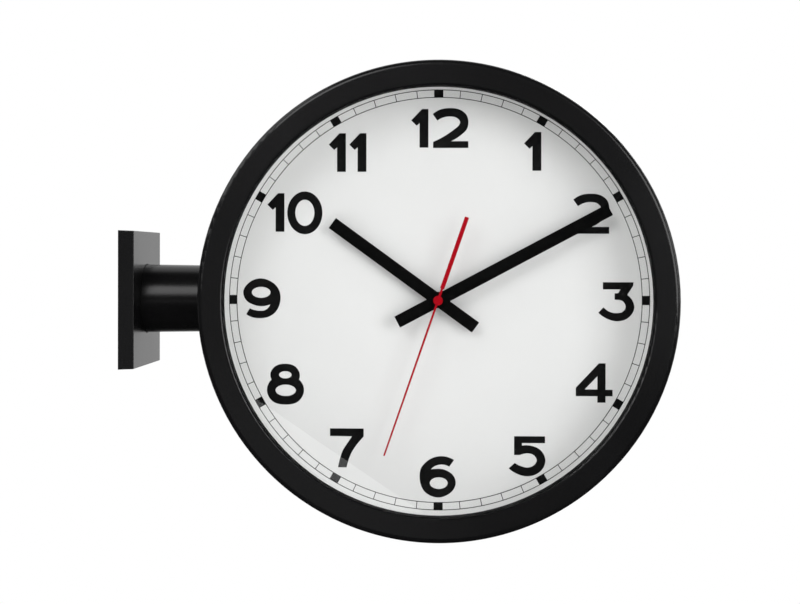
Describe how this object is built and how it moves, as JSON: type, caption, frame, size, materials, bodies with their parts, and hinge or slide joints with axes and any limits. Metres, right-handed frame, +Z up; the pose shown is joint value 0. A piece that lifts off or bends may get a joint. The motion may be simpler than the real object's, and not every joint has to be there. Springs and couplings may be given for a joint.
{
  "type": "double sided station clock",
  "caption": "Round double sided clock in a black drum case on a short round wall arm with a square wall plate; white dial and bar hands on each side.",
  "frame": {"origin": "centre of the wall plate's back face, on the wall and on the arm's axis", "axes": "+X out of the wall along the arm, +Z up, the front dial faces -Y and the rear dial faces +Y"},
  "size_m": [0.3357, 0.12, 0.285],
  "materials": {
    "black_coat": "satin black powder coat",
    "screw_black": "blackened steel",
    "screw_steel": "zinc plated",
    "bracket_steel": "zinc plated plate",
    "clear_pane": "clear flat pane",
    "reveal_white": "matt",
    "dial_white": "matt off-white with black print",
    "movement_black": "moulded, fine grain",
    "movement_grey": "moulded",
    "gear_white": "natural moulded",
    "gear_red": "moulded",
    "magnet_grey": "sintered magnet on a moulded pinion",
    "board_green": "lacquered board",
    "coil_copper": "enamelled copper wire",
    "soft_iron": "rolled",
    "nut_black": "turned and blackened",
    "cell_wrap": "plain sleeve",
    "contact_plate": "nickel plated spring strip",
    "hand_black": "matt black",
    "hand_red": "satin red"
  },
  "bodies": {
    "wall_arm_and_drum": {"wall_bracket": "bracket_steel", "arm_tube": "black_coat", "arm_saddle": "bracket_steel", "arm_screws": "screw_steel", "case_drum": "black_coat"},
    "wall_cover_loose": {"wall_cover": "black_coat", "cover_screws": "screw_black"},
    "front_face": {"front_bezel": "black_coat", "front_bezel_screws": "screw_black", "front_glass": "clear_pane", "front_reveal_ring": "reveal_white", "front_ring_screws": "screw_steel", "front_dial": "dial_white", "front_movement_case": "movement_black", "front_movement_nut": "nut_black", "front_train_bridge": "movement_grey", "front_movement_cover": "movement_black", "front_circuit_board": "board_green", "front_coil": "coil_copper", "front_stator": "soft_iron", "front_battery": "cell_wrap", "front_battery_contacts": "contact_plate"},
    "front_second_group": {"front_second_hand": "hand_red", "front_seconds_wheel": "gear_white"},
    "front_minute_group": {"front_minute_hand": "hand_black", "front_minute_arbor": "gear_white"},
    "front_intermediate_group": {"front_intermediate_wheel": "gear_white"},
    "front_rotor_group": {"front_rotor": "magnet_grey"},
    "front_third_group": {"front_third_wheel": "gear_red"},
    "front_centre_group": {"front_centre_wheel": "gear_white"},
    "front_minute_wheel_group": {"front_minute_wheel": "gear_red"},
    "front_hour_group": {"front_hour_hand": "hand_black", "front_hour_wheel": "gear_white"},
    "rear_face": {"rear_bezel": "black_coat", "rear_bezel_screws": "screw_black", "rear_glass": "clear_pane", "rear_reveal_ring": "reveal_white", "rear_ring_screws": "screw_steel", "rear_dial": "dial_white", "rear_movement_case": "movement_black", "rear_movement_nut": "nut_black", "rear_train_bridge": "movement_grey", "rear_movement_cover": "movement_black", "rear_circuit_board": "board_green", "rear_coil": "coil_copper", "rear_stator": "soft_iron", "rear_battery": "cell_wrap", "rear_battery_contacts": "contact_plate"},
    "rear_second_group": {"rear_second_hand": "hand_red", "rear_seconds_wheel": "gear_white"},
    "rear_minute_group": {"rear_minute_hand": "hand_black", "rear_minute_arbor": "gear_white"},
    "rear_intermediate_group": {"rear_intermediate_wheel": "gear_white"},
    "rear_rotor_group": {"rear_rotor": "magnet_grey"},
    "rear_third_group": {"rear_third_wheel": "gear_red"},
    "rear_centre_group": {"rear_centre_wheel": "gear_white"},
    "rear_minute_wheel_group": {"rear_minute_wheel": "gear_red"},
    "rear_hour_group": {"rear_hour_hand": "hand_black", "rear_hour_wheel": "gear_white"}
  },
  "joints": [
    {"name": "wall_cover_slide", "type": "slide", "parent": "wall_arm_and_drum", "child": "wall_cover_loose", "axis": [1, 0, 0], "range_m": [0, 0.025]},
    {"name": "front_face_slide", "type": "slide", "parent": "wall_arm_and_drum", "child": "front_face", "axis": [0, -1, 0], "range_m": [0, 0.06]},
    {"name": "front_second_turn", "type": "hinge", "parent": "front_face", "child": "front_second_group", "pos_m": [0.1932, -0.037, 0], "axis": [0, 1, 0], "continuous": true},
    {"name": "front_minute_turn", "type": "hinge", "parent": "front_face", "child": "front_minute_group", "pos_m": [0.1932, -0.034, 0], "axis": [0, 1, 0], "continuous": true},
    {"name": "front_intermediate_turn", "type": "hinge", "parent": "front_face", "child": "front_intermediate_group", "pos_m": [0.18804, -0.01, 0.00737], "axis": [0, 1, 0], "continuous": true},
    {"name": "front_rotor_turn", "type": "hinge", "parent": "front_face", "child": "front_rotor_group", "pos_m": [0.18212, -0.01, 0.00953], "axis": [0, 1, 0], "continuous": true},
    {"name": "front_third_turn", "type": "hinge", "parent": "front_face", "child": "front_third_group", "pos_m": [0.20185, -0.013, 0.00315], "axis": [0, 1, 0], "continuous": true},
    {"name": "front_centre_turn", "type": "hinge", "parent": "front_face", "child": "front_centre_group", "pos_m": [0.1932, -0.016, 0], "axis": [0, 1, 0], "continuous": true},
    {"name": "front_minute_wheel_turn", "type": "hinge", "parent": "front_face", "child": "front_minute_wheel_group", "pos_m": [0.18437, -0.018, -0.00321], "axis": [0, 1, 0], "continuous": true},
    {"name": "front_hour_turn", "type": "hinge", "parent": "front_face", "child": "front_hour_group", "pos_m": [0.1932, -0.03, 0], "axis": [0, 1, 0], "continuous": true},
    {"name": "rear_face_slide", "type": "slide", "parent": "wall_arm_and_drum", "child": "rear_face", "axis": [0, 1, 0], "range_m": [0, 0.06]},
    {"name": "rear_second_turn", "type": "hinge", "parent": "rear_face", "child": "rear_second_group", "pos_m": [0.1932, 0.037, 0], "axis": [0, -1, 0], "continuous": true},
    {"name": "rear_minute_turn", "type": "hinge", "parent": "rear_face", "child": "rear_minute_group", "pos_m": [0.1932, 0.034, 0], "axis": [0, -1, 0], "continuous": true},
    {"name": "rear_intermediate_turn", "type": "hinge", "parent": "rear_face", "child": "rear_intermediate_group", "pos_m": [0.19836, 0.01, 0.00737], "axis": [0, -1, 0], "continuous": true},
    {"name": "rear_rotor_turn", "type": "hinge", "parent": "rear_face", "child": "rear_rotor_group", "pos_m": [0.20428, 0.01, 0.00953], "axis": [0, -1, 0], "continuous": true},
    {"name": "rear_third_turn", "type": "hinge", "parent": "rear_face", "child": "rear_third_group", "pos_m": [0.18455, 0.013, 0.00315], "axis": [0, -1, 0], "continuous": true},
    {"name": "rear_centre_turn", "type": "hinge", "parent": "rear_face", "child": "rear_centre_group", "pos_m": [0.1932, 0.016, 0], "axis": [0, -1, 0], "continuous": true},
    {"name": "rear_minute_wheel_turn", "type": "hinge", "parent": "rear_face", "child": "rear_minute_wheel_group", "pos_m": [0.20203, 0.018, -0.00321], "axis": [0, -1, 0], "continuous": true},
    {"name": "rear_hour_turn", "type": "hinge", "parent": "rear_face", "child": "rear_hour_group", "pos_m": [0.1932, 0.03, 0], "axis": [0, -1, 0], "continuous": true}
  ],
  "couplings": [
    {"joint": "front_intermediate_turn", "follows": "front_second_turn", "ratio": -5},
    {"joint": "front_rotor_turn", "follows": "front_second_turn", "ratio": 30},
    {"joint": "front_third_turn", "follows": "front_second_turn", "ratio": -0.13333},
    {"joint": "front_centre_turn", "follows": "front_second_turn", "ratio": 0.016667},
    {"joint": "front_minute_wheel_turn", "follows": "front_minute_turn", "ratio": -0.33333},
    {"joint": "front_hour_turn", "follows": "front_minute_turn", "ratio": 0.083333},
    {"joint": "rear_intermediate_turn", "follows": "rear_second_turn", "ratio": -5},
    {"joint": "rear_rotor_turn", "follows": "rear_second_turn", "ratio": 30},
    {"joint": "rear_third_turn", "follows": "rear_second_turn", "ratio": -0.13333},
    {"joint": "rear_centre_turn", "follows": "rear_second_turn", "ratio": 0.016667},
    {"joint": "rear_minute_wheel_turn", "follows": "rear_minute_turn", "ratio": -0.33333},
    {"joint": "rear_hour_turn", "follows": "rear_minute_turn", "ratio": 0.083333}
  ]
}
